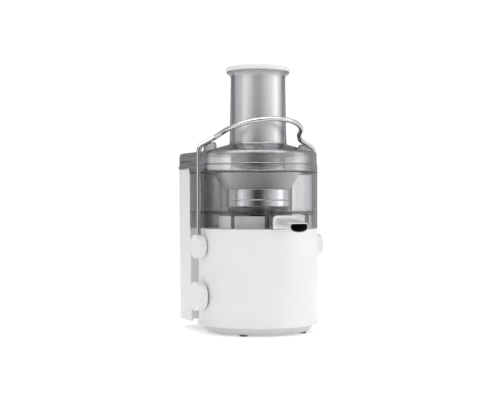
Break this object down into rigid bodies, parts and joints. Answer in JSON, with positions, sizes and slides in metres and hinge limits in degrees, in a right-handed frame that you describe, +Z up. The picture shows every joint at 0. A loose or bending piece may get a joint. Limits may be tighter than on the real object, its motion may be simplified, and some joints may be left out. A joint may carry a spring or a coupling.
{
  "type": "centrifugal juicer",
  "caption": "Upright centrifugal juicer: round motor base, clear bowl with a spinning filter basket, clear lid with a wide feed tube and pusher, rear pulp container, locking arm and front spout",
  "frame": {"origin": "on the motor's axis, on the surface that the juicer stands on; this is the middle of the overall box's underside", "axes": "+Z up along the motor's axis, -Y towards the spout at the front, +X to the right seen from the front"},
  "size_m": [0.2148, 0.2839, 0.4142],
  "materials": {
    "white_plastic": "glossy moulded plastic",
    "smoky_plastic": "clear plastic with a smoky grey tint",
    "pearl_plastic": "satin light grey plastic",
    "silver_plastic": "smooth silver coating",
    "rubber": "matt moulded rubber",
    "dark_plastic": "matt moulded plastic",
    "chrome": "polished chrome plating",
    "steel": "stainless steel",
    "filter_steel": "finely perforated stainless steel",
    "copper": "enamelled copper",
    "iron": "laminated electrical steel",
    "circuit_board": "lacquered fibre board"
  },
  "bodies": {
    "base": {"base_housing": "white_plastic", "bottom_cover": "white_plastic", "foot_rear_right": "rubber", "foot_rear_left": "rubber", "foot_front_left": "rubber", "foot_front_right": "rubber", "cover_screw_1": "steel", "cover_screw_2": "steel", "cover_screw_3": "steel", "cover_screw_4": "steel", "cord_gland": "rubber", "motor_upper_bracket": "steel", "motor_lower_bracket": "steel", "motor_damper_1": "rubber", "motor_damper_2": "rubber", "motor_damper_3": "rubber", "motor_tie_bolt_1": "steel", "motor_tie_bolt_2": "steel", "stator_core": "iron", "field_winding_upper": "copper", "field_winding_lower": "copper", "brush_holder_left": "dark_plastic", "brush_holder_right": "dark_plastic", "bearing_upper": "steel", "bearing_lower": "steel", "shaft_seal": "rubber", "speed_switch": "dark_plastic", "interlock_switch": "dark_plastic", "control_board": "circuit_board", "pivot_bush_left": "dark_plastic", "pivot_bush_right": "dark_plastic", "juice_bowl": "smoky_plastic", "lid_gasket": "rubber", "spout": "pearl_plastic", "lid": "smoky_plastic"},
    "rotor": {"motor_shaft": "steel", "rotor_core": "iron", "commutator": "copper", "cooling_fan": "dark_plastic", "drive_coupling": "dark_plastic", "filter_mesh": "filter_steel", "filter_rim": "steel", "basket_drum": "steel", "basket_base": "steel", "grater_disc": "steel", "grater_post": "steel"},
    "arm": {"arm_hub_left": "white_plastic", "arm_hub_right": "white_plastic", "arm_pivot_left": "steel", "arm_pivot_right": "steel", "interlock_cam": "dark_plastic", "locking_arm": "chrome"},
    "dial": {"speed_dial": "white_plastic", "switch_shaft": "steel"},
    "pusher": {"pusher_barrel": "silver_plastic", "pusher_cap": "white_plastic"},
    "pulp_bin": {"pulp_container": "white_plastic"}
  },
  "joints": [
    {"name": "locking_arm_pivot", "type": "hinge", "parent": "base", "child": "arm", "pos_m": [0, 0, 0.134], "axis": [1, 0, 0], "range_deg": [0, 95]},
    {"name": "speed_dial_turn", "type": "hinge", "parent": "base", "child": "dial", "pos_m": [-0.1, 0, 0.058], "axis": [1, 0, 0], "range_deg": [0, 90]},
    {"name": "motor_spin", "type": "hinge", "parent": "base", "child": "rotor", "pos_m": [0, 0, 0.1], "axis": [0, 0, 1], "continuous": true},
    {"name": "pusher_slide", "type": "slide", "parent": "base", "child": "pusher", "axis": [0, 0, 1], "range_m": [0, 0.18]},
    {"name": "pulp_bin_slide", "type": "slide", "parent": "base", "child": "pulp_bin", "axis": [0, 1, 0], "range_m": [0, 0.12]}
  ]
}
